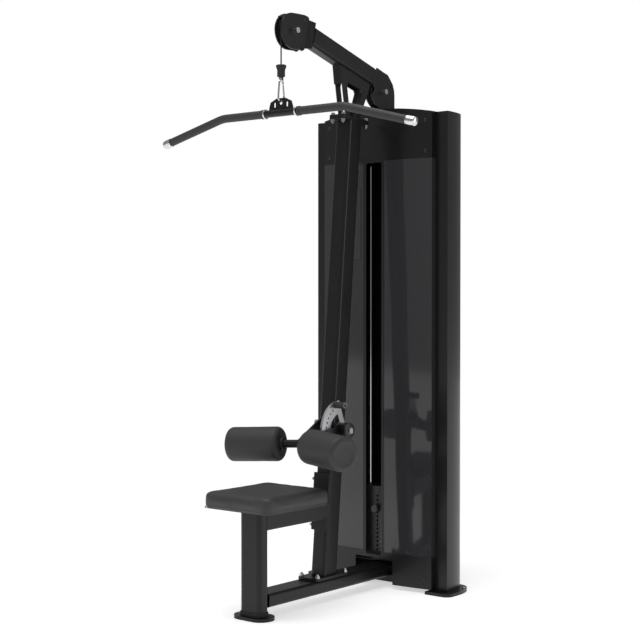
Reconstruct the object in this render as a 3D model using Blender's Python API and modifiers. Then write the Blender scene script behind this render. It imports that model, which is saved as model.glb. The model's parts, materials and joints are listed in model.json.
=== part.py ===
"""Lat pulldown machine with a shrouded weight tower, as an assembly of separate pieces.

Metres, +Z up. The user sits facing +Y, so the seat is at -Y and the weight tower at +Y; X = 0 is the plane of
symmetry. Every length is measured from the tower's front edge plane, and the empty "machine" then centres the
whole object on the world origin.
"""

from math import asin, atan, cos, hypot, pi, radians, sin, tan

import bmesh
import bpy
from mathutils import Matrix, Vector

# ---------------------------------------------------------------- driving dimensions
GAP = 0.0003            # running and seating gap between touching pieces
CENTRE_Y = 0.3350       # shift that puts the middle of the bounding box on the world origin

# base
PAD = 0.0040            # rubber pad under each foot plate
FOOT_PLATE = 0.008
RAIL_W, RAIL_H, RAIL_Z, RAIL_WALL = 0.100, 0.050, 0.040, 0.003
CROSS_BAR_H = 0.025

# seat
POST_Y, POST_W, POST_D, POST_R = -0.742, 0.100, 0.054, 0.018
POST_FOOT_W, POST_FOOT_D = 0.164, 0.100
BEAM_W, BEAM_LOW = 0.080, 0.320
SEAT_LOW, SEAT_THICK = 0.402, 0.058
SEAT_W, SEAT_FRONT, SEAT_BACK, SEAT_CORNER = 0.330, -0.856, -0.485, 0.035

# upright: a slanted tube whose axis crosses the floor at UPRIGHT_Y
UPRIGHT_Y, UPRIGHT_LEAN = -0.3483, 0.0899
UPRIGHT_W, UPRIGHT_D, UPRIGHT_R, UPRIGHT_WALL = 0.070, 0.080, 0.012, 0.003
UPRIGHT_TOP = 1.8670    # length along the slanted axis
FLANGE_W, FLANGE_D, FLANGE_T = 0.072, 0.166, 0.0085
BASE_FLANGE_W, BASE_FLANGE_D, BASE_FLANGE_T = 0.100, 0.200, 0.010

# boom and its pulleys
BOOM_W, BOOM_H, BOOM_R, BOOM_WALL = 0.054, 0.074, 0.012, 0.003
BOOM_SLOPE = 0.285
BOOM_MID_Y, BOOM_MID_Z = -0.250, 2.110
BOOM_FRONT, BOOM_REAR = -0.426, -0.052
FRONT_AXLE_Y, FRONT_AXLE_Z = -0.542, 2.165
REAR_AXLE_Y, REAR_AXLE_Z = 0.0085, 1.998
PULLEY_RIM, PULLEY_CABLE, PULLEY_T, PULLEY_BORE = 0.057, 0.0485, 0.018, 0.0065
CABLE_R = 0.003
HOUSING_T, HOUSING_OUT, HOUSING_R = 0.006, 0.017, 0.067
AXLE_R, AXLE_HEAD_R, AXLE_HEAD_T = 0.006, 0.0105, 0.006
AXLE_COLLAR_R, AXLE_COLLAR_END = 0.008, 0.037
BRACKET_T, BRACKET_X = 0.006, 0.0165

# tower
TOWER_HALF = 0.2705     # half width of the front panel
TOWER_SAG = 0.020       # how far the panel's middle stands in front of its edges
TOWER_TOP, TOWER_CROWN = 1.902, 0.025
COVER_LOW, SHEET = 0.017, 0.003
PANE_LOW, PANE_HIGH, PANE_T = 0.1445, 1.7195, 0.004
PLACARD_X, PLACARD_Z, PLACARD_T = (-0.243, -0.066), (1.327, 1.612), 0.0012
SLOT_HALF, SLOT_LOW, SLOT_HIGH, STRIP_W = 0.0385, 0.130, 1.713, 0.0145
CUT_HALF, CUT_HIGH = 0.093, 0.118
RETURN_DEPTH, COLUMN_FRONT = 0.040, 0.026
COLUMN_HALF, COLUMN_A, COLUMN_B, COLUMN_WALL = 0.327, 0.050, 0.150, 0.003
COLUMN_TOP = 1.900
COLUMN_FOOT_X, COLUMN_FOOT_Y, COLUMN_FOOT_R = (0.250, 0.362), (-0.016, 0.186), 0.030
COLUMN_FOOT_SWEEP, COLUMN_FOOT_BACK = 0.075, 0.128
REAR_PANEL_Y, REAR_PANEL_LOW = 0.165, 0.020

# weight stack
STACK_Y = REAR_AXLE_Y + PULLEY_CABLE
STACK_BASE_Z, STACK_BASE_H = RAIL_Z + RAIL_H + GAP, 0.032
BUMPER_H = 0.015
PLATE_W, PLATE_D, PLATE_T = 0.270, 0.100, 0.0165
PLATE_COUNT, PINNED_PLATE = 14, 4
TOP_PLATE_T = 0.030
ROD_X, ROD_R, ROD_CLEAR = 0.072, 0.0095, 0.0012
SELECTOR_R, SELECTOR_CLEAR = 0.011, 0.0015
PIN_R, PIN_CLEAR = 0.0045, 0.0005
PIN_KNOB_R, PIN_KNOB_T, PIN_KNOB_Y = 0.0165, 0.016, -0.018

# thigh hold-down
PIVOT_Y, PIVOT_Z = -0.289, 0.657
ROLLER_X, ROLLER_Y, ROLLER_Z = 0.1748, -0.537, 0.609     # middle of the right roller
ROLLER_SWEEP, ROLLER_DROOP = 0.265, 0.052                 # how far its axis runs forward and down, per unit of X
ROLLER_R, ROLLER_LENGTH, ROLLER_CAP = 0.066, 0.2165, 0.005
TUBE_R, TUBE_SHORT = 0.0155, 0.008
SECTOR_RIM, SECTOR_INNER, SECTOR_HOLES, SECTOR_T = 0.117, 0.067, 0.092, 0.010
SECTOR_HOLE_R, SECTOR_FIRST, SECTOR_PITCH, SECTOR_COUNT = 0.0045, 10.0, 11.8, 5
SECTOR_SPAN = (-3.0, 84.0)
GRIP_R, GRIP_LENGTH, GRIP_RADIUS, GRIP_ANGLE = 0.010, 0.046, 0.105, 72.0
LEVER_T, HUB_R, HUB_LENGTH, LEVER_END_R = 0.008, 0.029, 0.037, 0.022
INNER_LEVER_X = 0.014
BARREL_R, BARREL_BACK, POP_PIN_R = 0.0100, 0.004, 0.004
KNOB_R, KNOB_LENGTH = 0.0105, 0.017
SHAFT_R, SHAFT_HEAD_R = 0.010, 0.022

# cable end, hook, hanger and bar
STOPPER_TOP, STOPPER_LOW, STOPPER_R, STOPPER_FLARE = 2.034, 1.990, 0.0148, 0.0195
EYE_W, EYE_T, EYE_DROP, EYE_HOLE = 0.018, 0.005, 0.018, 0.0055
HOOK_WIRE, HOOK_HALF = 0.0035, 0.016
HANGER_T, HANGER_HOLE_Z, HANGER_HOLE_R = 0.005, 1.894, 0.0080
BAR_Z, BAR_HALF, BAR_BEND, BAR_DROP = 1.857, 0.610, 0.296, 0.0805
BAR_R, GRIP_BAR_R, GRIP_IN, BAR_CAP = 0.0125, 0.0160, 0.075, 0.016

COLLECTION = bpy.data.collections.new("lat_pulldown_machine")
CUTTERS = bpy.data.collections.new("cutters")


# ---------------------------------------------------------------- helpers
def clear_scene():
    for old in list(bpy.data.objects):
        bpy.data.objects.remove(old, do_unlink=True)
    bpy.context.scene.collection.children.link(COLLECTION)
    bpy.context.scene.collection.children.link(CUTTERS)


def finish_material(name, colour, roughness, metallic):
    material = bpy.data.materials.new(name)
    material.use_nodes = True
    shader = material.node_tree.nodes["Principled BSDF"]
    shader.inputs["Base Color"].default_value = (*colour, 1.0)
    shader.inputs["Roughness"].default_value = roughness
    shader.inputs["Metallic"].default_value = metallic
    return material


BLACK = finish_material("black_powder_coat", (0.012, 0.012, 0.013), 0.25, 0.0)
SMOKE = finish_material("smoked_acrylic", (0.045, 0.045, 0.048), 0.08, 0.0)
VINYL = finish_material("black_vinyl", (0.030, 0.030, 0.032), 0.55, 0.0)
RUBBER = finish_material("black_rubber", (0.020, 0.020, 0.021), 0.75, 0.0)
CHROME = finish_material("chrome", (0.75, 0.75, 0.76), 0.10, 1.0)
ZINC = finish_material("zinc_plated_steel", (0.45, 0.45, 0.46), 0.30, 1.0)
NYLON = finish_material("black_nylon", (0.022, 0.022, 0.023), 0.45, 0.0)
IRON = finish_material("cast_iron_paint", (0.018, 0.018, 0.019), 0.50, 0.0)
CABLE = finish_material("coated_cable", (0.015, 0.015, 0.016), 0.35, 0.0)


def as_object(name, mesh, collection=COLLECTION):
    piece = bpy.data.objects.new(name, mesh)
    collection.objects.link(piece)
    return piece


def mesh_from_curve(name, curve):
    """Turns a curve datablock into a welded mesh object."""
    source = bpy.data.objects.new(name + "_curve", curve)
    CUTTERS.objects.link(source)
    bpy.context.view_layer.update()
    depsgraph = bpy.context.evaluated_depsgraph_get()
    mesh = bpy.data.meshes.new_from_object(source.evaluated_get(depsgraph))
    bpy.data.objects.remove(source, do_unlink=True)
    shape = bmesh.new()
    shape.from_mesh(mesh)
    bmesh.ops.remove_doubles(shape, verts=shape.verts, dist=1e-6)
    bmesh.ops.recalc_face_normals(shape, faces=shape.faces)
    shape.to_mesh(mesh)
    shape.free()
    return as_object(name, mesh)


def outline_curve(name, loops, thickness):
    """A flat outline with holes, extruded to a thickness about its own plane."""
    curve = bpy.data.curves.new(name, "CURVE")
    curve.dimensions = "2D"
    curve.fill_mode = "BOTH"
    curve.extrude = thickness / 2
    for loop in loops:
        spline = curve.splines.new("POLY")
        spline.points.add(len(loop) - 1)
        for point, (x, y) in zip(spline.points, loop):
            point.co = (x, y, 0.0, 1.0)
        spline.use_cyclic_u = True
    return curve


def bake(piece):
    """Puts the object's placing into its mesh, so that two pieces can be joined or cut."""
    piece.data.transform(piece.matrix_basis)
    piece.matrix_basis = Matrix.Identity(4)
    return piece


def plan_plate(name, loops, low, high):
    """Outline in X and Y, standing from low to high in Z."""
    piece = mesh_from_curve(name, outline_curve(name, loops, high - low))
    piece.location.z = (low + high) / 2
    return bake(piece)


def side_plate(name, loops, low, high):
    """Outline in Y and Z, standing from low to high in X."""
    piece = mesh_from_curve(name, outline_curve(name, loops, high - low))
    piece.rotation_euler = (pi / 2, 0.0, pi / 2)
    piece.location.x = (low + high) / 2
    return bake(piece)


def front_plate(name, loops, low, high):
    """Outline in X and Z, standing from low to high in Y."""
    piece = mesh_from_curve(name, outline_curve(name, loops, high - low))
    piece.rotation_euler = (pi / 2, 0.0, 0.0)
    piece.location.y = (low + high) / 2
    return bake(piece)


def box(name, low, high):
    bpy.ops.mesh.primitive_cube_add(size=1.0)
    piece = bpy.context.object
    piece.name = name
    for owner in list(piece.users_collection):
        owner.objects.unlink(piece)
    COLLECTION.objects.link(piece)
    piece.scale = [b - a for a, b in zip(low, high)]
    piece.location = [(a + b) / 2 for a, b in zip(low, high)]
    return bake(piece)


def turned(name, profile, axis_y, axis_z, sides=32):
    """A profile of (x, radius) points, from -X to +X, turned about a line along X."""
    mesh = bpy.data.meshes.new(name)
    edges = [(i, i + 1) for i in range(len(profile) - 1)]
    mesh.from_pydata([(x, 0.0, r) for x, r in profile], edges, [])
    piece = as_object(name, mesh)
    screw = piece.modifiers.new("turn", "SCREW")
    screw.axis = "X"
    screw.steps = screw.render_steps = sides
    screw.use_merge_vertices = True
    screw.merge_threshold = 1e-5
    apply_modifiers(piece)
    shape = bmesh.new()
    shape.from_mesh(piece.data)
    bmesh.ops.remove_doubles(shape, verts=shape.verts, dist=1e-6)
    bmesh.ops.dissolve_degenerate(shape, edges=shape.edges, dist=1e-7)
    bmesh.ops.recalc_face_normals(shape, faces=shape.faces)
    shape.to_mesh(piece.data)
    shape.free()
    piece.location = (0.0, axis_y, axis_z)
    return bake(piece)


def upright_cylinder(name, x, y, low, high, radius, sides=24):
    bpy.ops.mesh.primitive_cylinder_add(vertices=sides, radius=radius, depth=high - low)
    piece = bpy.context.object
    piece.name = name
    for owner in list(piece.users_collection):
        owner.objects.unlink(piece)
    COLLECTION.objects.link(piece)
    piece.location = (x, y, (low + high) / 2)
    return bake(piece)


def tube_along(name, points, radius, sides=12, closed=False, radii=None):
    """A round rod through the points; radii scale it point by point."""
    curve = bpy.data.curves.new(name, "CURVE")
    curve.dimensions = "3D"
    curve.bevel_depth = radius
    curve.bevel_resolution = max(1, sides // 4 - 1)
    curve.use_fill_caps = not closed
    spline = curve.splines.new("POLY")
    spline.points.add(len(points) - 1)
    for i, (point, place) in enumerate(zip(spline.points, points)):
        point.co = (*place, 1.0)
        point.radius = radii[i] if radii else 1.0
    spline.use_cyclic_u = closed
    return mesh_from_curve(name, curve)


def apply_modifiers(piece):
    bpy.context.view_layer.update()
    depsgraph = bpy.context.evaluated_depsgraph_get()
    mesh = bpy.data.meshes.new_from_object(piece.evaluated_get(depsgraph))
    piece.modifiers.clear()
    piece.data = mesh
    return piece


def combine(piece, others, operation):
    """Joins the others to the piece, or cuts them out of it, and uses them up."""
    for other in others:
        step = piece.modifiers.new(operation.lower(), "BOOLEAN")
        step.operation = operation
        step.solver = "EXACT"
        step.object = other
        apply_modifiers(piece)
        bpy.data.objects.remove(other, do_unlink=True)
        weld(piece)
    return piece


def weld(piece):
    """Closes the hairline slivers that a Boolean leaves behind."""
    shape = bmesh.new()
    shape.from_mesh(piece.data)
    bmesh.ops.remove_doubles(shape, verts=shape.verts, dist=3e-5)
    bmesh.ops.dissolve_degenerate(shape, edges=shape.edges, dist=1e-6)
    shape.to_mesh(piece.data)
    shape.free()


def cut(piece, *others):
    return combine(piece, others, "DIFFERENCE")


def join(piece, *others):
    return combine(piece, others, "UNION")


def rounded_rectangle(width, depth, radius, centre=(0.0, 0.0), steps=4):
    points = []
    corners = ((1, 1, 0.0), (-1, 1, pi / 2), (-1, -1, pi), (1, -1, 1.5 * pi))
    for sx, sy, start in corners:
        cx = centre[0] + sx * (width / 2 - radius)
        cy = centre[1] + sy * (depth / 2 - radius)
        for i in range(steps + 1):
            angle = start + i * pi / 2 / steps
            points.append((cx + radius * cos(angle), cy + radius * sin(angle)))
    return points


def ring(centre, radius, steps=24):
    cx, cy = centre
    return [(cx + radius * cos(2 * pi * i / steps), cy + radius * sin(2 * pi * i / steps)) for i in range(steps)]


def arc(centre, radius, start, end, steps):
    """Points on a circle from the start angle to the end angle, in degrees."""
    angles = [radians(start + (end - start) * i / steps) for i in range(steps + 1)]
    return [(centre[0] + radius * cos(a), centre[1] + radius * sin(a)) for a in angles]


def capsule(a, radius_a, b, radius_b, steps=8):
    """Outline around two circles and the straight sides between them."""
    across, up = b[0] - a[0], b[1] - a[1]
    length = hypot(across, up)
    heading = asin(up / length) if across > 0 else pi - asin(up / length)
    side = pi / 2 + asin((radius_b - radius_a) / length)
    points = []
    for i in range(steps + 1):
        angle = heading - side + i * 2 * side / steps
        points.append((b[0] + radius_b * cos(angle), b[1] + radius_b * sin(angle)))
    for i in range(steps + 1):
        angle = heading + side + i * (2 * pi - 2 * side) / steps
        points.append((a[0] + radius_a * cos(angle), a[1] + radius_a * sin(angle)))
    return points


def shade(piece, material, smooth_angle=35.0):
    piece.data.materials.clear()
    piece.data.materials.append(material)
    piece.data.shade_smooth()
    piece.data.set_sharp_from_angle(angle=radians(smooth_angle))
    return piece


def set_origin(piece, x, y, z):
    """Moves the piece's origin to a point, and leaves its shape where it is."""
    piece.data.transform(Matrix.Translation((-x, -y, -z)))
    piece.location = (x, y, z)
    return piece


# ---------------------------------------------------------------- shared places
def upright_axis(z):
    return UPRIGHT_Y + UPRIGHT_LEAN * z


def upright_front(z):
    return upright_axis(z) - UPRIGHT_D / 2 * hypot(1.0, UPRIGHT_LEAN)


def lean(piece):
    """Turns a piece built along +Z about the upright's foot, onto the upright's slanted axis."""
    piece.rotation_euler.x = -atan(UPRIGHT_LEAN)
    piece.location.y = UPRIGHT_Y
    return bake(piece)


def boom_level(y):
    return BOOM_MID_Z - BOOM_SLOPE * (y - BOOM_MID_Y)


def panel_front(x):
    """The front panel bows forward: Y of its outer face at x."""
    return -TOWER_SAG * (1 - (x / TOWER_HALF) ** 2)


def panel_top(x):
    return TOWER_TOP + TOWER_CROWN * (1 - (x / TOWER_HALF) ** 2)


def spread(start, end, steps):
    return [start + (end - start) * i / steps for i in range(steps + 1)]


def bowed_strip(start, end, front, back, steps=12):
    """Plan outline of a sheet that follows the panel's bow between two offsets from its outer face."""
    xs = spread(start, end, steps)
    return [(x, panel_front(x) + front) for x in xs] + [(x, panel_front(x) + back) for x in reversed(xs)]


def stack_level(index):
    """Underside of a weight plate, counted from 1 at the top; index 0 is the top plate."""
    bottom = STACK_BASE_Z + STACK_BASE_H + GAP + BUMPER_H + GAP
    return bottom + (PLATE_COUNT - index) * (PLATE_T + GAP)


def sector_point(radius, degrees):
    angle = radians(degrees)
    return (PIVOT_Y - radius * cos(angle), PIVOT_Z + radius * sin(angle))


# ---------------------------------------------------------------- base and seat
def build_base():
    rail_front = POST_Y + POST_D / 2 + GAP
    rail_back = STACK_Y + 0.043
    middle = (0.0, RAIL_Z + RAIL_H / 2)
    loops = [
        rounded_rectangle(RAIL_W, RAIL_H, 0.010, middle),
        rounded_rectangle(RAIL_W - 2 * RAIL_WALL, RAIL_H - 2 * RAIL_WALL, 0.007, middle),
    ]
    rail = front_plate("base_frame", loops, rail_front, rail_back)
    top = PAD + GAP + FOOT_PLATE + GAP
    low, high = (-TOWER_HALF, RETURN_DEPTH + 0.002, top), (TOWER_HALF, rail_back - 0.002, RAIL_Z + 0.001)
    shade(join(rail, box("cross", low, high)), BLACK)


def build_seat_frame():
    foot = rounded_rectangle(POST_FOOT_W, POST_FOOT_D, POST_FOOT_D / 2 - 0.002, (0.0, POST_Y), 7)
    shade(plan_plate("front_foot_pad", [foot], 0.0, PAD), RUBBER)
    plate_low = PAD + GAP
    post = plan_plate("seat_post", [foot], plate_low, plate_low + FOOT_PLATE)
    tube = [
        rounded_rectangle(POST_W, POST_D, POST_R, (0.0, POST_Y), 5),
        rounded_rectangle(POST_W - 0.006, POST_D - 0.006, POST_R - 0.003, (0.0, POST_Y), 5),
    ]
    join(post, plan_plate("post_tube", tube, plate_low + FOOT_PLATE / 2, SEAT_LOW - GAP))
    shade(post, BLACK)
    build_seat_beam()
    cushion_middle = (0.0, (SEAT_FRONT + SEAT_BACK) / 2)
    outline = rounded_rectangle(SEAT_W, SEAT_BACK - SEAT_FRONT, SEAT_CORNER, cushion_middle, 6)
    cushion = plan_plate("seat_cushion", [outline], SEAT_LOW, SEAT_LOW + SEAT_THICK)
    bevel = cushion.modifiers.new("soft edge", "BEVEL")
    bevel.width = 0.010
    bevel.segments = 3
    bevel.angle_limit = radians(60)
    shade(apply_modifiers(cushion), VINYL)


def build_seat_beam():
    """Deep tube from the post to a plate that is bolted to the upright's front face."""
    front = POST_Y + POST_D / 2 + GAP
    high = SEAT_LOW - GAP
    plate_t, plate_low, plate_high = 0.008, 0.270, 0.490
    back = upright_front(high) - plate_t / 2
    middle = (0.0, (BEAM_LOW + high) / 2)
    loops = [
        rounded_rectangle(BEAM_W, high - BEAM_LOW, 0.010, middle),
        rounded_rectangle(BEAM_W - 0.006, high - BEAM_LOW - 0.006, 0.007, middle),
    ]
    beam = front_plate("seat_beam", loops, front, back)
    slope = hypot(1.0, UPRIGHT_LEAN)
    face = -UPRIGHT_D / 2 - GAP
    plate = box("plate", (-0.037, face - plate_t, plate_low * slope), (0.037, face, plate_high * slope))
    trim = box("trim", (-0.2, face, 0.1), (0.2, face + 0.3, 1.0))
    cut(beam, lean(trim))
    join(beam, lean(plate))
    shade(beam, BLACK)


# ---------------------------------------------------------------- upright and boom
def build_upright():
    outer = rounded_rectangle(UPRIGHT_W, UPRIGHT_D, UPRIGHT_R)
    wall = 2 * UPRIGHT_WALL
    inner = rounded_rectangle(UPRIGHT_W - wall, UPRIGHT_D - wall, UPRIGHT_R - UPRIGHT_WALL)
    tube = lean(plan_plate("upright", [outer, inner], 0.0, UPRIGHT_TOP - GAP))
    base_low = RAIL_Z + RAIL_H + GAP
    trim = box("trim", (-0.2, -0.6, -0.2), (0.2, 0.0, base_low + BASE_FLANGE_T / 2))
    cut(tube, trim)
    centre = upright_axis(base_low)
    base = rounded_rectangle(BASE_FLANGE_W, BASE_FLANGE_D, 0.012, (0.0, centre))
    join(tube, plan_plate("base", [base], base_low, base_low + BASE_FLANGE_T))
    bore = turned("bore", rod_profile(-0.06, 0.06, SHAFT_R + GAP), PIVOT_Y, PIVOT_Z, 24)
    cut(tube, bore)
    shade(tube, BLACK)
    flange = rounded_rectangle(FLANGE_W, FLANGE_D, 0.006)
    shade(lean(plan_plate("upright_flange", [flange], UPRIGHT_TOP, UPRIGHT_TOP + FLANGE_T)), BLACK)


def rod_profile(low, high, radius):
    return [(low, 0.0), (low, radius), (high, radius), (high, 0.0)]


def build_boom():
    length_scale = hypot(1.0, BOOM_SLOPE)
    loops = [
        rounded_rectangle(BOOM_W, BOOM_H, BOOM_R),
        rounded_rectangle(BOOM_W - 2 * BOOM_WALL, BOOM_H - 2 * BOOM_WALL, BOOM_R - BOOM_WALL),
    ]
    front = (BOOM_FRONT - BOOM_MID_Y) * length_scale
    back = (BOOM_REAR - BOOM_MID_Y) * length_scale
    boom = front_plate("boom_tube", loops, front, back)
    boom.rotation_euler.x = -atan(BOOM_SLOPE)
    boom.location = (0.0, BOOM_MID_Y, BOOM_MID_Z)
    shade(bake(boom), BLACK)
    build_boom_bracket(BOOM_H / 2 * length_scale)


def build_boom_bracket(half_height):
    """Two legged plates under the boom, welded to a flange that bolts to the upright's."""
    low = UPRIGHT_TOP + FLANGE_T + GAP
    flange = rounded_rectangle(FLANGE_W, FLANGE_D, 0.006)
    bracket = lean(plan_plate("boom_bracket", [flange], low, low + FLANGE_T))

    def under_boom(y):
        return (y, boom_level(y) - half_height - GAP)

    legs = [
        under_boom(-0.258),
        (-0.235, 1.940),
        (-0.224, 1.8785),
        (-0.198, 1.8765),
        (-0.209, 1.942),
        (-0.218, 1.995),
        (-0.2125, 2.013),
        (-0.130, 1.992),
        (-0.124, 1.980),
        (-0.138, 1.944),
        (-0.166, 1.8735),
        (-0.143, 1.8715),
        (-0.108, 1.938),
        (-0.084, 1.981),
        under_boom(-0.068),
    ]
    for side in (-1, 1):
        middle = side * BRACKET_X
        join(bracket, side_plate("leg", [legs], middle - BRACKET_T / 2, middle + BRACKET_T / 2))
    web = [under_boom(-0.262), (-0.252, 2.003), (-0.247, 2.003), under_boom(-0.252)]
    join(bracket, side_plate("web", [web], -BRACKET_X - BRACKET_T / 2, BRACKET_X + BRACKET_T / 2))
    shade(bracket, BLACK)


def pulley_profile():
    groove, half = PULLEY_CABLE - CABLE_R, PULLEY_T / 2
    return [
        (-half, PULLEY_BORE),
        (-half, PULLEY_RIM),
        (-half + 0.003, PULLEY_RIM),
        (-CABLE_R - 0.0015, groove + 0.002),
        (-0.0015, groove - GAP),
        (0.0015, groove - GAP),
        (CABLE_R + 0.0015, groove + 0.002),
        (half - 0.003, PULLEY_RIM),
        (half, PULLEY_RIM),
        (half, PULLEY_BORE),
        (-half, PULLEY_BORE),
    ]


def axle_profile():
    """Bolt through both cheeks, with a spacer collar and a head outside each."""
    collar_in = HOUSING_OUT + 2 * GAP
    right = [
        (collar_in, AXLE_R),
        (collar_in, AXLE_COLLAR_R),
        (AXLE_COLLAR_END, AXLE_COLLAR_R),
        (AXLE_COLLAR_END, AXLE_HEAD_R),
        (AXLE_COLLAR_END + AXLE_HEAD_T, AXLE_HEAD_R),
        (AXLE_COLLAR_END + AXLE_HEAD_T, 0.0),
    ]
    return [(-x, r) for x, r in reversed(right)] + right


def front_housing_outline():
    nose = arc((FRONT_AXLE_Y, FRONT_AXLE_Z), HOUSING_R, -90.0, -270.0, 16)
    top = [(-0.506, 2.2335), (-0.472, 2.234), (-0.4555, 2.231), (-0.4475, 2.2265)]
    return nose + top + [(-0.4475, 2.214), (-0.4755, 2.104), (-0.487, 2.0975), (-0.4995, 2.100)]


def rear_housing_outline(base):
    cheek = arc((REAR_AXLE_Y, REAR_AXLE_Z), HOUSING_R - 0.002, -104.0, -168.0, 6)
    back = [(0.024, 2.080), (0.052, 2.073), (0.063, 2.063), (0.086, 2.038), (0.096, 2.015), (0.0985, 1.994)]
    return [(-0.019, 2.093)] + back + [(0.0985, base), (0.0, base)] + cheek + [(-0.041, 1.999)]


def wedge(name, side, inner_line, outer_line):
    """Bent web between a housing plate's edge and the boom's side wall; the lines are in Y and Z."""
    inset = 0.0006
    spans = (
        (HOUSING_OUT - HOUSING_T + inset, HOUSING_OUT - inset, inner_line),
        (BOOM_W / 2 - HOUSING_T, BOOM_W / 2, outer_line),
    )
    verts = [(side * x, y, z) for low, high, line in spans for y, z in line for x in (low, high)]
    faces = [(0, 1, 3, 2), (4, 6, 7, 5), (0, 4, 5, 1), (2, 3, 7, 6), (1, 5, 7, 3), (0, 2, 6, 4)]
    mesh = bpy.data.meshes.new(name)
    mesh.from_pydata(verts, [], faces)
    shape = bmesh.new()
    shape.from_mesh(mesh)
    bmesh.ops.recalc_face_normals(shape, faces=shape.faces)
    shape.to_mesh(mesh)
    shape.free()
    return as_object(name, mesh)


def build_pulley_station(name, outline, axle_y, axle_z, lines, pins):
    """Two cheek plates flared out to the boom's width, held apart by pins, with the pulley on its bolt."""
    hole = ring((axle_y, axle_z), AXLE_R + GAP, 20)
    low, high = HOUSING_OUT - HOUSING_T, HOUSING_OUT
    housing = side_plate(f"{name}_pulley_housing", [outline, hole], low, high)
    join(housing, side_plate("cheek", [outline, hole], -high, -low))
    for side in (1, -1):
        join(housing, wedge("flare", side, *lines))
    for y, z in pins:
        join(housing, turned("pin", rod_profile(-high - 0.002, high + 0.002, 0.005), y, z, 12))
    shade(housing, BLACK)
    shade(turned(f"{name}_pulley_axle", axle_profile(), axle_y, axle_z, 20), ZINC)
    pulley = turned(f"{name}_pulley", pulley_profile(), axle_y, axle_z, 40)
    shade(set_origin(pulley, 0.0, axle_y, axle_z), NYLON)


def build_pulleys():
    front_lines = ((-0.4535, 2.220), (-0.4800, 2.108)), ((-0.4185, 2.211), (-0.4445, 2.110))
    front_pins = ((-0.4890, 2.1085), (-0.582, 2.2145))
    build_pulley_station("front", front_housing_outline(), FRONT_AXLE_Y, FRONT_AXLE_Z, front_lines, front_pins)
    rear_lines = ((-0.0180, 2.084), (-0.0365, 2.010)), ((-0.0415, 2.083), (-0.060, 2.017))
    base = panel_top(0.0) + GAP
    rear_pins = ((0.078, 2.030),)
    build_pulley_station("rear", rear_housing_outline(base), REAR_AXLE_Y, REAR_AXLE_Z, rear_lines, rear_pins)


def build_cable():
    """One cable in three nodes: the hanging end, the run over both pulleys and the drop to the stack."""
    hang_y = FRONT_AXLE_Y - PULLEY_CABLE
    slope = (REAR_AXLE_Z - FRONT_AXLE_Z) / (REAR_AXLE_Y - FRONT_AXLE_Y)
    lift = 90.0 + atan(slope) * 180.0 / pi
    front = arc((FRONT_AXLE_Y, FRONT_AXLE_Z), PULLEY_CABLE, 180.0, lift, 10)
    rear = arc((REAR_AXLE_Y, REAR_AXLE_Z), PULLEY_CABLE, lift, 0.0, 10)
    run = [(0.0, y, z) for y, z in front + rear]
    shade(tube_along("cable_over_pulleys", run, CABLE_R, 8), CABLE)
    hanging = [(0.0, hang_y, FRONT_AXLE_Z - GAP), (0.0, hang_y, STOPPER_TOP + GAP)]
    shade(tube_along("cable_front_drop", hanging, CABLE_R, 8), CABLE)
    drop = [(0.0, STACK_Y, REAR_AXLE_Z - GAP), (0.0, STACK_Y, selector_top() + GAP)]
    shade(tube_along("cable_rear_drop", drop, CABLE_R, 8), CABLE)


# ---------------------------------------------------------------- tower
def build_front_panel():
    """Bent sheet: top cover, bottom cover and the two strips beside the slot, in one piece."""
    crown = TOWER_TOP + TOWER_CROWN + 0.02
    outline = bowed_strip(-TOWER_HALF, TOWER_HALF, 0.0, SHEET, 24)
    panel = plan_plate("tower_front_panel", [outline], COVER_LOW, crown)
    for side in (-1, 1):
        low, high = sorted((side * TOWER_HALF, side * (TOWER_HALF - SHEET)))
        flange = box("return", (low, panel_front(TOWER_HALF) + 0.001, COVER_LOW), (high, RETURN_DEPTH, crown))
        join(panel, flange)
    xs = spread(-TOWER_HALF - 0.01, TOWER_HALF + 0.01, 24)
    above = [(x, panel_top(x)) for x in xs] + [(TOWER_HALF + 0.01, crown + 0.1), (-TOWER_HALF - 0.01, crown + 0.1)]
    cut(panel, front_plate("above", [above], -0.1, 0.1))
    edge = SLOT_HALF + STRIP_W
    for side in (-1, 1):
        low, high = sorted((side * edge, side * (TOWER_HALF + 0.01)))
        cut(panel, box("window", (low, -0.1, PANE_LOW), (high, 0.1, PANE_HIGH)))
    slot_middle = (0.0, (SLOT_LOW + SLOT_HIGH) / 2)
    slot = rounded_rectangle(2 * SLOT_HALF, SLOT_HIGH - SLOT_LOW, 0.008, slot_middle)
    cut(panel, front_plate("slot", [slot], -0.1, 0.1))
    cut(panel, box("doorway", (-CUT_HALF, -0.1, 0.0), (CUT_HALF, 0.1, CUT_HIGH)))
    shade(panel, BLACK)


def build_panes():
    """Smoked panes that fill the windows and turn back along the columns."""
    inner, outer = SLOT_HALF + STRIP_W + GAP, TOWER_HALF
    for side, label in ((1, "right"), (-1, "left")):
        xs = [side * x for x in spread(inner, outer, 12)]
        front = [(x, panel_front(x)) for x in xs]
        turned_back = [(side * outer, COLUMN_FRONT - GAP), (side * (outer - PANE_T), COLUMN_FRONT - GAP)]
        back = [(x, panel_front(x) + PANE_T) for x in reversed(xs) if abs(x) < outer - PANE_T]
        pane = plan_plate(f"acrylic_pane_{label}", [front + turned_back + back], PANE_LOW + GAP, PANE_HIGH - GAP)
        shade(pane, SMOKE)


def build_placard():
    """Blank instruction plate, bent to the left pane's bow."""
    outline = bowed_strip(*PLACARD_X, -GAP - PLACARD_T, -GAP, 8)
    shade(plan_plate("placard", [outline], *PLACARD_Z), NYLON)


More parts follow.
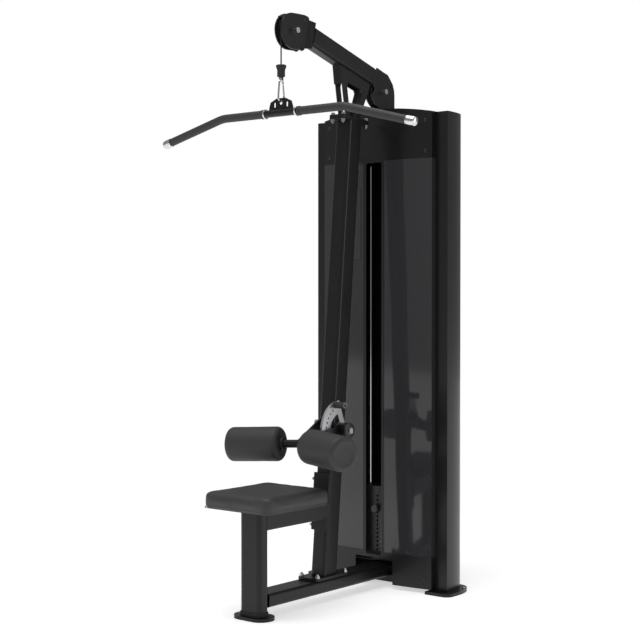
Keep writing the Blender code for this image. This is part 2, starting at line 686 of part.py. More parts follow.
def column_outline(inset):
    """Flat front, straight inner side and a quarter ellipse round the outside."""
    inner = TOWER_HALF + GAP + inset
    centre_x, centre_y = COLUMN_HALF - COLUMN_A, COLUMN_FRONT + inset
    points = [(inner, centre_y)]
    for i in range(15):
        angle = i * pi / 2 / 14
        x = centre_x + (COLUMN_A - inset) * cos(angle)
        y = COLUMN_FRONT + (COLUMN_B - inset) * sin(angle)
        points.append((max(x, inner), max(y, centre_y)))
    return points + [(inner, COLUMN_FRONT + COLUMN_B - inset)]


def foot_outline():
    """Straight front and inner side, one round corner, then a quarter ellipse that follows the column."""
    (inner, outer), (front, back) = COLUMN_FOOT_X, COLUMN_FOOT_Y
    corner = [i * pi / 2 / 6 for i in range(7)]
    points = [(inner, front)]
    for angle in corner:
        x = outer - COLUMN_FOOT_R * (1 - sin(angle))
        points.append((x, front + COLUMN_FOOT_R * (1 - cos(angle))))
    reach, middle = COLUMN_FOOT_SWEEP, back - COLUMN_FOOT_BACK
    for i in range(13):
        angle = i * pi / 2 / 12
        points.append((outer - reach * (1 - cos(angle)), middle + COLUMN_FOOT_BACK * sin(angle)))
    return points + [(inner, back)]


def build_columns():
    plate_low = PAD + GAP
    for side, label in ((1, "right"), (-1, "left")):
        foot = [(side * x, y) for x, y in foot_outline()]
        shade(plan_plate(f"foot_pad_{label}", [foot], 0.0, PAD), RUBBER)
        loops = [[(side * x, y) for x, y in column_outline(inset)] for inset in (0.0, COLUMN_WALL)]
        column = plan_plate(f"tower_column_{label}", loops, plate_low + FOOT_PLATE / 2, COLUMN_TOP)
        drain = ring((side * 0.292, COLUMN_FRONT + 0.045), 0.008, 16)
        join(column, plan_plate("foot", [foot, drain], plate_low, plate_low + FOOT_PLATE))
        cap = [(x * 0.9999, y) for x, y in loops[0]]
        join(column, plan_plate("cap", [cap], COLUMN_TOP - COLUMN_WALL, COLUMN_TOP + 0.0005))
        shade(column, BLACK)


def build_tower_lid():
    half, thick = TOWER_HALF - SHEET - GAP, 0.003
    drop = 0.004
    xs = spread(-half, half, 16)
    arch = [(x, panel_top(x) - drop) for x in xs] + [(x, panel_top(x) - drop - thick) for x in reversed(xs)]
    lid = front_plate("tower_lid", [arch], -0.03, REAR_PANEL_Y + SHEET)
    ahead = bowed_strip(-TOWER_HALF, TOWER_HALF, -0.08, SHEET + GAP, 24)
    cut(lid, plan_plate("ahead", [ahead], 1.8, 2.0))
    cut(lid, upright_cylinder("cable_hole", 0.0, STACK_Y, 1.8, 2.0, 0.012))
    shade(lid, BLACK)


def lid_underside(x):
    return panel_top(x) - 0.004 - 0.003


def build_tower_inside():
    high = lid_underside(TOWER_HALF) - 0.002
    side = TOWER_HALF
    rear = box("rear_panel", (-side, REAR_PANEL_Y, REAR_PANEL_LOW), (side, REAR_PANEL_Y + SHEET, high))
    shade(rear, BLACK)
    low, top = STACK_BASE_Z, STACK_BASE_Z + STACK_BASE_H
    middle = (RETURN_DEPTH + 0.032, (low + top) / 2)
    loops = [
        rounded_rectangle(0.060, STACK_BASE_H, 0.006, middle),
        rounded_rectangle(0.054, STACK_BASE_H - 0.006, 0.003, middle),
    ]
    shade(side_plate("stack_base_beam", loops, -TOWER_HALF, TOWER_HALF), BLACK)
    holes = [ring((x, STACK_Y), ROD_R + GAP, 24) for x in (-ROD_X, ROD_X)]
    pad = rounded_rectangle(0.240, 0.070, 0.008, (0.0, STACK_Y))
    shade(plan_plate("stack_bumper", [pad] + holes, top + GAP, top + GAP + BUMPER_H), RUBBER)
    for label, x in (("left", -ROD_X), ("right", ROD_X)):
        rod = upright_cylinder(f"guide_rod_{label}", x, STACK_Y, top + GAP, lid_underside(ROD_X + ROD_R) - GAP, ROD_R)
        shade(rod, CHROME)


# ---------------------------------------------------------------- weight stack
def stack_outline_loops():
    outline = rounded_rectangle(PLATE_W, PLATE_D, 0.006, (0.0, STACK_Y), 3)
    rods = [ring((x, STACK_Y), ROD_R + ROD_CLEAR, 20) for x in (-ROD_X, ROD_X)]
    return outline, rods, ring((0.0, STACK_Y), SELECTOR_R + SELECTOR_CLEAR, 20)


def cross_bore(name, z, front, back):
    """A cylinder along Y, to cut the selector pin's hole."""
    bpy.ops.mesh.primitive_cylinder_add(vertices=12, radius=PIN_R + PIN_CLEAR, depth=back - front)
    piece = bpy.context.object
    piece.name = name
    for owner in list(piece.users_collection):
        owner.objects.unlink(piece)
    COLLECTION.objects.link(piece)
    piece.rotation_euler.x = pi / 2
    piece.location = (0.0, (front + back) / 2, z)
    return bake(piece)


def build_weight_plates():
    outline, rods, centre = stack_outline_loops()
    low = stack_level(1)
    first = plan_plate("weight_plate_01", [outline, centre] + rods, low, low + PLATE_T)
    cut(first, cross_bore("pin_hole", low + PLATE_T / 2, STACK_Y - 0.08, STACK_Y))
    shade(first, IRON)
    for index in range(2, PLATE_COUNT + 1):
        copy = as_object(f"weight_plate_{index:02d}", first.data)
        copy.location.z = stack_level(index) - low
    low = stack_level(0)
    stem = ring((0.0, STACK_Y), SELECTOR_R + GAP, 20)
    shade(plan_plate("top_plate", [outline, stem] + rods, low, low + TOP_PLATE_T), IRON)


def selector_top():
    return stack_level(0) + TOP_PLATE_T + 0.040


def build_selector():
    """Rod that hangs through the stack, and the pin that picks how much of it is lifted."""
    low = stack_level(PLATE_COUNT) + GAP
    rod = upright_cylinder("selector_rod", 0.0, STACK_Y, low, selector_top(), SELECTOR_R)
    for index in range(1, PLATE_COUNT):
        cut(rod, cross_bore("pin_hole", stack_level(index) + PLATE_T / 2, STACK_Y - 0.03, STACK_Y + 0.03))
    shade(rod, CHROME)
    z = stack_level(PINNED_PLATE) + PLATE_T / 2
    knob_back = PIN_KNOB_Y + PIN_KNOB_T
    profile = [
        (PIN_KNOB_Y, 0.0),
        (PIN_KNOB_Y, PIN_KNOB_R - 0.003),
        (PIN_KNOB_Y + 0.003, PIN_KNOB_R),
        (knob_back - 0.003, PIN_KNOB_R),
        (knob_back, PIN_KNOB_R - 0.004),
        (knob_back, PIN_R),
        (STACK_Y + SELECTOR_R - 0.001, PIN_R),
        (STACK_Y + SELECTOR_R + 0.001, 0.0),
    ]
    pin = turned("selector_pin", profile, 0.0, 0.0, 24)
    pin.rotation_euler.z = pi / 2
    pin.location = (0.0, 0.0, z)
    shade(set_origin(bake(pin), 0.0, PIN_KNOB_Y, z), NYLON)


# ---------------------------------------------------------------- thigh hold-down
def build_sector():
    """Notched quadrant bolted to the upright's right side, with a stub handle."""
    low = UPRIGHT_W / 2 + GAP
    high = low + SECTOR_T
    start, end = SECTOR_SPAN
    rim = [sector_point(SECTOR_RIM, start + (end - start) * i / 16) for i in range(17)]
    back = [(PIVOT_Y + 0.027, PIVOT_Z + 0.014)] + arc((PIVOT_Y, PIVOT_Z), 0.030, 20.0, -150.0, 8)
    outline = rim + back
    inner = [sector_point(SECTOR_INNER, 6.0 + 66.0 * i / 10) for i in range(11)]
    window = inner + [(PIVOT_Y - 0.009, PIVOT_Z + 0.035), (PIVOT_Y - 0.030, PIVOT_Z + 0.012)]
    bore = ring((PIVOT_Y, PIVOT_Z), SHAFT_R + GAP, 24)
    angles = [SECTOR_FIRST + SECTOR_PITCH * i for i in range(SECTOR_COUNT)]
    holes = [ring(sector_point(SECTOR_HOLES, angle), SECTOR_HOLE_R, 12) for angle in angles]
    sector = side_plate("sector_plate", [outline, window, bore] + holes, low, high)
    y, z = sector_point(GRIP_RADIUS, GRIP_ANGLE)
    join(sector, turned("stub", rod_profile(low + SECTOR_T / 2, high + GRIP_LENGTH, GRIP_R), y, z, 20))
    shade(sector, ZINC)


def lever_low():
    return UPRIGHT_W / 2 + GAP + SECTOR_T + 0.003


def on_roller_axis(piece, side):
    """Places a piece that is turned about X, middle on the origin, on one roller's swept and drooping axis."""
    heading = Vector((side, -ROLLER_SWEEP, -ROLLER_DROOP)).normalized()
    turn = Vector((1.0, 0.0, 0.0)).rotation_difference(heading).to_matrix().to_4x4()
    piece.matrix_basis = Matrix.Translation((side * ROLLER_X, ROLLER_Y, ROLLER_Z)) @ turn
    return bake(piece)


def roller_line(x):
    """Y and Z of the right roller's axis at x."""
    return (ROLLER_Y + (ROLLER_X - x) * ROLLER_SWEEP, ROLLER_Z + (ROLLER_X - x) * ROLLER_DROOP)


def build_thigh_arm():
    """Weldment: outer lever with its hub, inner lever with the pin's barrel, and the rollers' cross tube."""
    pivot = (PIVOT_Y, PIVOT_Z)
    low = lever_low()
    roller = roller_line(low + LEVER_T / 2)
    arm = side_plate("thigh_arm", [capsule(roller, LEVER_END_R, pivot, HUB_R - 0.002)], low, low + LEVER_T)
    join(arm, turned("hub", rod_profile(low + 0.001, low + HUB_LENGTH, HUB_R), PIVOT_Y, PIVOT_Z, 32))
    pin_at = sector_point(SECTOR_HOLES, SECTOR_FIRST + SECTOR_PITCH)
    inner = capsule(roller_line(INNER_LEVER_X), LEVER_END_R, pin_at, BARREL_R + 0.006)
    join(arm, side_plate("inner", [inner], INNER_LEVER_X - 0.004, INNER_LEVER_X + 0.004))
    barrel_end = UPRIGHT_W / 2 - 0.0005
    join(arm, turned("barrel", rod_profile(BARREL_BACK, barrel_end, BARREL_R), *pin_at, 20))
    middle = -ROLLER_X * hypot(1.0, ROLLER_SWEEP, ROLLER_DROOP) - 0.003
    for side in (1, -1):
        tube = rod_profile(middle, ROLLER_LENGTH / 2 - TUBE_SHORT, TUBE_R)
        join(arm, on_roller_axis(turned("tube", tube, 0.0, 0.0, 24), side))
    cut(arm, turned("pin_bore", rod_profile(-0.1, 0.1, POP_PIN_R + GAP), *pin_at, 16))
    cut(arm, turned("shaft_bore", rod_profile(0.0, 0.2, SHAFT_R + GAP), PIVOT_Y, PIVOT_Z, 24))
    shade(set_origin(arm, 0.0, *pivot), BLACK)
    build_pop_pin(pin_at)
    build_shaft(low + HUB_LENGTH + GAP)


def build_pop_pin(pin_at):
    """Spring pin with a round pull knob; its tip stops just short of the sector's hole."""
    knob_end = BARREL_BACK - GAP
    tip = UPRIGHT_W / 2 - 0.0001
    profile = [
        (knob_end - KNOB_LENGTH, 0.0),
        (knob_end - KNOB_LENGTH, KNOB_R - 0.003),
        (knob_end - KNOB_LENGTH + 0.003, KNOB_R),
        (knob_end - 0.003, KNOB_R),
        (knob_end, KNOB_R - 0.003),
        (knob_end, POP_PIN_R),
        (tip, POP_PIN_R),
        (tip, 0.0),
    ]
    pin = turned("pop_pin", profile, *pin_at, 20)
    shade(set_origin(pin, knob_end, *pin_at), CHROME)


def build_shaft(hub_end):
    half = UPRIGHT_W / 2 + GAP
    profile = [
        (-half - 0.010, 0.0),
        (-half - 0.010, SHAFT_HEAD_R - 0.004),
        (-half - 0.006, SHAFT_HEAD_R),
        (-half, SHAFT_HEAD_R),
        (-half, SHAFT_R),
        (hub_end, SHAFT_R),
        (hub_end, SHAFT_HEAD_R),
        (hub_end + 0.004, SHAFT_HEAD_R),
        (hub_end + 0.004, 0.011),
        (hub_end + 0.011, 0.011),
        (hub_end + 0.011, 0.0),
    ]
    shade(turned("thigh_pivot_shaft", profile, PIVOT_Y, PIVOT_Z, 24), ZINC)


def build_rollers():
    """Foam rollers, open at the inner end, each turning on its half of the cross tube."""
    edge, bore, half = 0.010, TUBE_R + GAP, ROLLER_LENGTH / 2
    profile = [
        (-half, bore),
        (-half, ROLLER_R - edge),
        (-half + edge * 0.3, ROLLER_R - edge * 0.3),
        (-half + edge, ROLLER_R),
        (half - edge, ROLLER_R),
        (half - edge * 0.3, ROLLER_R - edge * 0.3),
        (half, ROLLER_R - edge),
        (half, 0.0),
        (half - ROLLER_CAP, 0.0),
        (half - ROLLER_CAP, bore),
        (-half, bore),
    ]
    for side, label in ((1, "right"), (-1, "left")):
        roller = on_roller_axis(turned(f"roller_{label}", profile, 0.0, 0.0, 32), side)
        shade(set_origin(roller, side * ROLLER_X, ROLLER_Y, ROLLER_Z), VINYL)


# ---------------------------------------------------------------- hook, hanger and bar
def build_stopper(y):
    """Rubber ball stop crimped to the cable's end, with a steel eye below it."""
    profile = [
        (STOPPER_LOW, 0.0),
        (STOPPER_LOW, STOPPER_R),
        (STOPPER_TOP - 0.020, STOPPER_R),
        (STOPPER_TOP - 0.007, STOPPER_FLARE),
        (STOPPER_TOP - 0.002, STOPPER_FLARE),
        (STOPPER_TOP, STOPPER_FLARE - 0.004),
        (STOPPER_TOP, 0.0),
    ]
    stopper = turned("cable_stopper", profile, 0.0, 0.0, 24)
    stopper.rotation_euler.y = -pi / 2
    stopper.location.y = y
    bake(stopper)
    low = STOPPER_LOW - EYE_DROP
    eye_z = low + EYE_W / 2
    eye = arc((0.0, eye_z), EYE_W / 2, 180.0, 360.0, 10) + [(EYE_W / 2, STOPPER_LOW + 0.006), (-EYE_W / 2, STOPPER_LOW + 0.006)]
    join(stopper, front_plate("eye", [eye], y - EYE_T / 2, y + EYE_T / 2))
    hole = [ring((0.0, eye_z), EYE_HOLE, 16)]
    cut(stopper, front_plate("eye_hole", hole, y - 0.02, y + 0.02))
    shade(stopper, RUBBER)
    return eye_z


def hook_path(y, low, high):
    """Spring hook seen from the side: a tall loop in the YZ plane, from the gate's top round to its foot."""
    top = [(y + HOOK_HALF * 0.62 * cos(a), high - HOOK_HALF * 0.62 * (1 - sin(a))) for a in spread(0.0, pi, 10)]
    bottom = [(y + HOOK_HALF * cos(a), low + HOOK_HALF * (1 + sin(a))) for a in spread(pi, 2 * pi, 12)]
    return top, bottom


def build_hook(y, eye_z):
    wire = HOOK_WIRE
    high = eye_z - EYE_HOLE + wire + 3 * GAP
    low = HANGER_HOLE_Z + HANGER_HOLE_R - wire - 3 * GAP
    top, bottom = hook_path(y, low, high)
    gate_low = bottom[-1]
    gate_high = top[0]
    span = (gate_high[1] - gate_low[1])
    body = [(gate_high[0], gate_high[1] - 0.006)] + top + bottom + [(gate_low[0], gate_low[1] + 0.008)]
    hook = tube_along("snap_hook", [(0.0, a, b) for a, b in body], wire, 12)
    shade(hook, CHROME)
    ends = ((gate_high[0], gate_high[1] - 0.006), (gate_low[0], gate_low[1] + 0.008))
    (y1, z1), (y0, z0) = ends
    shrink = 0.0015 / span
    a = (y0 + (y1 - y0) * shrink, z0 + (z1 - z0) * shrink)
    b = (y1 + (y0 - y1) * shrink, z1 + (z0 - z1) * shrink)
    gate = tube_along("snap_gate", [(0.0, *a), (0.0, *b)], wire * 0.9, 12)
    shade(set_origin(gate, 0.0, *a), CHROME)


def build_hanger(y):
    """Plate with a hook hole and two adjusting slots, welded on top of the bar's bare middle."""
    outline = [
        (-0.057, BAR_Z + BAR_R + GAP),
        (0.057, BAR_Z + BAR_R + GAP),
        (0.057, BAR_Z + 0.020),
        (0.050, BAR_Z + 0.041),
        (0.020, BAR_Z + 0.054),
        (-0.020, BAR_Z + 0.054),
        (-0.050, BAR_Z + 0.041),
        (-0.057, BAR_Z + 0.020),
    ]
    hole = ring((0.0, HANGER_HOLE_Z), HANGER_HOLE_R, 20)
    slots = [rounded_rectangle(0.010, 0.020, 0.0049, (side * 0.030, BAR_Z + 0.030), 4) for side in (-1, 1)]
    shade(front_plate("hanger_plate", [outline, hole] + slots, y - HANGER_T / 2, y + HANGER_T / 2), BLACK)


def build_bar(y):
    """Bent bar: bare middle, rubber-covered arms sloping down, and a cap at each end."""
    slope = BAR_DROP / (BAR_HALF - BAR_BEND)
    half = []

    def level(x):
        return BAR_Z - max(0.0, x - BAR_BEND) * slope

    ratio = GRIP_BAR_R / BAR_R
    for x, scale in ((0.0, 1.0), (GRIP_IN, 1.0), (GRIP_IN + 0.001, ratio)):
        half.append((x, level(x), scale))
    for x in spread(BAR_BEND - 0.02, BAR_BEND + 0.02, 6):
        ease = (x - BAR_BEND + 0.02) / 0.04
        half.append((x, BAR_Z - slope * 0.02 * ease * ease, ratio))
    for x in (BAR_HALF - BAR_CAP, BAR_HALF):
        half.append((x, level(x), ratio))
    left = [(-x, z, s) for x, z, s in reversed(half[1:])]
    points = left + half
    bar = tube_along("lat_bar", [(x, y, z) for x, z, _ in points], BAR_R, 16, radii=[s for _, _, s in points])
    shade(bar, RUBBER)


def build_pull_end():
    hang_y = FRONT_AXLE_Y - PULLEY_CABLE
    eye_z = build_stopper(hang_y)
    build_hook(hang_y, eye_z)
    build_hanger(hang_y)
    build_bar(hang_y)


def centre_machine():
    """Hangs every piece on one empty, which shifts the machine to the middle of its footprint."""
    machine = bpy.data.objects.new("machine", None)
    COLLECTION.objects.link(machine)
    for piece in list(COLLECTION.objects):
        if piece.type == "MESH":
            piece.parent = machine
    machine.location.y = CENTRE_Y


def main():
    clear_scene()
    build_base()
    build_seat_frame()
    build_upright()
    build_boom()
    build_pulleys()
    build_cable()
    build_front_panel()
    build_panes()
    build_placard()
    build_columns()
    build_tower_lid()
    build_tower_inside()
    build_weight_plates()
    build_selector()
    build_sector()
    build_thigh_arm()
    build_rollers()
    build_pull_end()
    centre_machine()


main()
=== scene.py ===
"""Looks for the lat pulldown machine: finishes for every part, padded goods, fasteners and studio light."""

import json
from math import atan, cos, pi, radians, sin

import bmesh
import bpy
from mathutils import Matrix, Vector, noise


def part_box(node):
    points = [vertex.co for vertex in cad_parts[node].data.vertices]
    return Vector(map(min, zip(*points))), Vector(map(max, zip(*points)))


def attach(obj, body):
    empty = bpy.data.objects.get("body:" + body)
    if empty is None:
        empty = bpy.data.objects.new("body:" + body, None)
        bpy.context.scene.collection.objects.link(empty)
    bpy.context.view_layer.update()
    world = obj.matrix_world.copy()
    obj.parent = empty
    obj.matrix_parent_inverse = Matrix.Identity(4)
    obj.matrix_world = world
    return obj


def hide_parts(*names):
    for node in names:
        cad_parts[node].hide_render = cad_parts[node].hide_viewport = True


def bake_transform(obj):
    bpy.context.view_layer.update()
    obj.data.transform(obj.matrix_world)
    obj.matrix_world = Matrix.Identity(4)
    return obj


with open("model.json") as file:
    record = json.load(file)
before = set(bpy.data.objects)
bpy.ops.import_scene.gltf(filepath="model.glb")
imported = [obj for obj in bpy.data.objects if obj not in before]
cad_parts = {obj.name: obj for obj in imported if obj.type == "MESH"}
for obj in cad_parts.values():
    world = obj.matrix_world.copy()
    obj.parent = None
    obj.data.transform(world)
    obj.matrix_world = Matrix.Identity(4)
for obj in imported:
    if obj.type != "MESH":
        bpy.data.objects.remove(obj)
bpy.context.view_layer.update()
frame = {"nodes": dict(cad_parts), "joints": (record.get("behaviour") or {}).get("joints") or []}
NODES = frame["nodes"]

# Every place below is measured from the tower's front edge plane, like the part itself.
EDGE = 0.335
HANG_Y = -0.5905 + EDGE
STACK_Y, PLATE_FRONT = 0.057 + EDGE, 0.007 + EDGE
UPRIGHT_Y, UPRIGHT_LEAN = -0.3483 + EDGE, 0.0899
POST_Y = -0.742 + EDGE
PIVOT_Y, PIVOT_Z = -0.289 + EDGE, 0.657


# ---------------------------------------------------------------- small tools
def rgb(text):
    """sRGB hex to the linear colour that a shader takes."""
    values = [int(text[i : i + 2], 16) / 255 for i in (0, 2, 4)]
    return (*[v / 12.92 if v <= 0.04045 else ((v + 0.055) / 1.055) ** 2.4 for v in values], 1.0)


def add(tree, kind, links=None, **settings):
    """One node: settings fill properties or sockets of that name, and links join outputs to its inputs."""
    node = tree.nodes.new(kind)
    for key, value in settings.items():
        if hasattr(node, key):
            setattr(node, key, value)
        else:
            node.inputs[key.replace("_", " ")].default_value = value
    for key, source in (links or {}).items():
        tree.links.new(source, node.inputs[key])
    return node


def material(name, colour, rough, metal=0.0, coat=0.0, grain=0.0, grain_size=400.0, bump=0.0,
             alpha=1.0, tint=0.15, shine=0.5):
    """A finish with colour mottling, roughness that varies and a fine bump at the given grain."""
    made = bpy.data.materials.new(name)
    made.use_nodes = True
    tree = made.node_tree
    shader = tree.nodes["Principled BSDF"]
    shader.inputs["Metallic"].default_value = metal
    shader.inputs["Coat Weight"].default_value = coat
    shader.inputs["Specular IOR Level"].default_value = shine
    shader.inputs["Coat Roughness"].default_value = 0.06
    shader.inputs["Alpha"].default_value = alpha
    where = add(tree, "ShaderNodeTexCoord").outputs["Object"]
    cloudy = add(tree, "ShaderNodeTexNoise", {"Vector": where}, Scale=9.0, Detail=5.0)
    fine = add(tree, "ShaderNodeTexNoise", {"Vector": where}, Scale=grain_size, Detail=3.0)
    base = rgb(colour)
    mottled = add(tree, "ShaderNodeValToRGB", {"Fac": cloudy.outputs["Fac"]})
    for stop, factor in zip(mottled.color_ramp.elements, (1.0 - tint, 1.0 + tint)):
        stop.color = (*[min(1.0, c * factor) for c in base[:3]], 1.0)
    tree.links.new(mottled.outputs["Color"], shader.inputs["Base Color"])
    vary = add(tree, "ShaderNodeMapRange", {"Value": cloudy.outputs["Fac"]})
    vary.inputs["To Min"].default_value = max(0.02, rough * 0.85)
    vary.inputs["To Max"].default_value = min(1.0, rough * 1.2)
    tree.links.new(vary.outputs["Result"], shader.inputs["Roughness"])
    if grain:
        bumped = add(tree, "ShaderNodeBump", {"Height": fine.outputs["Fac"]}, Strength=bump, Distance=grain)
        tree.links.new(bumped.outputs["Normal"], shader.inputs["Normal"])
    return made


POWDER = material("black_powder_coat", "131314", 0.34, coat=0.06,
                  grain=0.0004, grain_size=900.0, bump=0.12, shine=0.28)
SHROUD = material("tower_powder_coat", "161617", 0.30, coat=0.08,
                  grain=0.0003, grain_size=800.0, bump=0.08, shine=0.30)
ACRYLIC = material("smoked_acrylic", "313133", 0.06, coat=0.30, alpha=0.94, tint=0.03, shine=0.35)
VINYL = material("grained_vinyl", "303032", 0.52, grain=0.0010, grain_size=420.0, bump=0.45)
FOAM = material("roller_skin", "2e2e30", 0.60, grain=0.0008, grain_size=520.0, bump=0.40)
RUBBER = material("moulded_rubber", "1c1c1d", 0.70, grain=0.0005, grain_size=700.0, bump=0.30)
GRIP = material("ribbed_grip_rubber", "2b2b2c", 0.62, grain=0.0006, grain_size=650.0, bump=0.35)
CHROME = material("polished_chrome", "d9dadc", 0.08, metal=1.0, tint=0.03)
ZINC = material("bright_zinc_plate", "b9babc", 0.27, metal=1.0, grain=0.0003, grain_size=300.0, bump=0.10)
SATIN = material("satin_aluminium", "c6c7c9", 0.34, metal=1.0,
                 grain=0.0003, grain_size=500.0, bump=0.12, tint=0.05)
NYLON = material("moulded_nylon", "1f1f20", 0.42, grain=0.0004, grain_size=600.0, bump=0.15)
PLATE = material("stack_plate_paint", "1b1b1c", 0.45, grain=0.0008, grain_size=350.0, bump=0.30)
JACKET = material("nylon_cable_jacket", "171718", 0.33, grain=0.0003, grain_size=900.0, bump=0.15)
PLACARD = material("printed_plate_blank", "29292a", 0.30, grain=0.0003, grain_size=700.0, bump=0.08)
FIGURES = material("white_plate_figures", "d8d8d6", 0.55, tint=0.05)


def object_from(name, shape, finish, body, smooth=40.0):
    """A finished piece from a bmesh: smooth shaded, one material, riding on its body."""
    mesh = bpy.data.meshes.new(name)
    bmesh.ops.recalc_face_normals(shape, faces=shape.faces)
    shape.to_mesh(mesh)
    shape.free()
    mesh.materials.append(finish)
    mesh.shade_smooth()
    mesh.set_sharp_from_angle(angle=radians(smooth))
    piece = bpy.data.objects.new(name, mesh)
    bpy.context.scene.collection.objects.link(piece)
    if body:
        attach(piece, body)
    return piece


def spin(shape, profile, centre, axis, sides=48):
    """Adds a turned body: profile of (distance along axis, radius) from one end to the other."""
    frame_to = Vector((0, 0, 1)).rotation_difference(Vector(axis)).to_matrix().to_4x4()
    place = Matrix.Translation(centre) @ frame_to
    rings = []
    for along, radius in profile:
        if radius < 1e-6:
            rings.append([shape.verts.new(place @ Vector((0, 0, along)))])
            continue
        turn = [2 * pi * i / sides for i in range(sides)]
        circle = [Vector((radius * cos(a), radius * sin(a), along)) for a in turn]
        rings.append([shape.verts.new(place @ point) for point in circle])
    for first, second in zip(rings, rings[1:]):
        for i in range(sides):
            j = (i + 1) % sides
            if len(first) == 1 and len(second) == 1:
                continue
            if len(first) == 1:
                shape.faces.new((first[0], second[i], second[j]))
            elif len(second) == 1:
                shape.faces.new((first[i], second[0], first[j]))
            else:
                shape.faces.new((first[i], second[i], second[j], first[j]))


def rounded_loop(half_x, half_y, radius, centre_y, z):
    """Points of a level rectangle with round corners, half_x by half_y from its middle."""
    points = []
    for side_x, side_y, start in ((1, 1, 0.0), (-1, 1, pi / 2), (-1, -1, pi), (1, -1, 1.5 * pi)):
        for i in range(9):
            angle = start + i * pi / 16
            x = side_x * (half_x - radius) + radius * cos(angle)
            y = side_y * (half_y - radius) + radius * sin(angle)
            points.append((x, y + centre_y, z))
    return points


def bridge(shape, loops):
    """Walls between loops of equal length, one above the other; gives back the rings of vertices."""
    rings = [[shape.verts.new(point) for point in loop] for loop in loops]
    for first, second in zip(rings, rings[1:]):
        for i in range(len(first)):
            j = (i + 1) % len(first)
            shape.faces.new((first[i], first[j], second[j], second[i]))
    return rings


def evaluated(piece):
    """A new mesh of the piece as its modifiers or bevel leave it."""
    return bpy.data.meshes.new_from_object(piece.evaluated_get(bpy.context.evaluated_depsgraph_get()))


def turned(name, profile, centre, axis, finish, body, sides=48):
    shape = bmesh.new()
    spin(shape, profile, centre, axis, sides)
    return object_from(name, shape, finish, body)


def rod(name, points, radius, finish, body, closed=False):
    """A smooth round wire or tube through the points, as a plain mesh."""
    curve = bpy.data.curves.new(name, "CURVE")
    curve.dimensions = "3D"
    curve.bevel_depth = radius
    curve.bevel_resolution = 5
    curve.use_fill_caps = True
    spline = curve.splines.new("POLY")
    spline.points.add(len(points) - 1)
    for point, place in zip(spline.points, points):
        point.co = (*place, 1.0)
    spline.use_cyclic_u = closed
    source = bpy.data.objects.new(name + "_path", curve)
    bpy.context.scene.collection.objects.link(source)
    bpy.context.view_layer.update()
    shape = bmesh.new()
    shape.from_mesh(evaluated(source))
    bpy.data.objects.remove(source, do_unlink=True)
    return object_from(name, shape, finish, body, 60.0)


def scatter(name, profile, places, finish, body, sides=24):
    """Repeats one turned fastener at each (place, axis) with Geometry Nodes, as one plain mesh."""
    shape = bmesh.new()
    spin(shape, profile, (0, 0, 0), (0, 0, 1), sides)
    unit = object_from(name + "_unit", shape, finish, None)
    mesh = bpy.data.meshes.new(name + "_points")
    mesh.from_pydata([tuple(place) for place, _ in places], [], [])
    axes = mesh.attributes.new("axis", "FLOAT_VECTOR", "POINT")
    for entry, (_, axis) in zip(axes.data, places):
        entry.vector = axis
    carrier = bpy.data.objects.new(name + "_carrier", mesh)
    bpy.context.scene.collection.objects.link(carrier)
    tree = bpy.data.node_groups.new(name, "GeometryNodeTree")
    tree.interface.new_socket(name="Geometry", in_out="INPUT", socket_type="NodeSocketGeometry")
    tree.interface.new_socket(name="Geometry", in_out="OUTPUT", socket_type="NodeSocketGeometry")
    source = add(tree, "NodeGroupInput")
    info = add(tree, "GeometryNodeObjectInfo", Object=unit)
    named = add(tree, "GeometryNodeInputNamedAttribute", data_type="FLOAT_VECTOR", Name="axis")
    align = add(tree, "FunctionNodeAlignRotationToVector", {"Vector": named.outputs["Attribute"]}, axis="Z")
    place = {"Points": source.outputs[0], "Instance": info.outputs["Geometry"]}
    put = add(tree, "GeometryNodeInstanceOnPoints", {**place, "Rotation": align.outputs["Rotation"]})
    real = add(tree, "GeometryNodeRealizeInstances", {"Geometry": put.outputs["Instances"]})
    paint = add(tree, "GeometryNodeSetMaterial", {"Geometry": real.outputs["Geometry"]}, Material=finish)
    add(tree, "NodeGroupOutput", {0: paint.outputs["Geometry"]})
    carrier.modifiers.new("repeat", "NODES").node_group = tree
    bpy.context.view_layer.update()
    made = evaluated(carrier)
    bpy.data.objects.remove(carrier, do_unlink=True)
    bpy.data.objects.remove(unit, do_unlink=True)
    piece = bpy.data.objects.new(name, made)
    bpy.context.scene.collection.objects.link(piece)
    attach(piece, body)
    return piece


def soften(name, width, segments=3):
    """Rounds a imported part's hard edges for the light to catch."""
    bevel = NODES[name].modifiers.new("soft edges", "BEVEL")
    bevel.width = width
    bevel.segments = segments
    bevel.limit_method = "ANGLE"
    bevel.angle_limit = radians(40)
    bevel.harden_normals = False


def paint(finish, *names):
    for name in names:
        NODES[name].data.materials.clear()
        NODES[name].data.materials.append(finish)


def upright_point(side, along_front, z):
    """A point on the upright: side in X, along_front from its axis in Y, at height z."""
    return Vector((side, UPRIGHT_Y + UPRIGHT_LEAN * z + along_front, z))


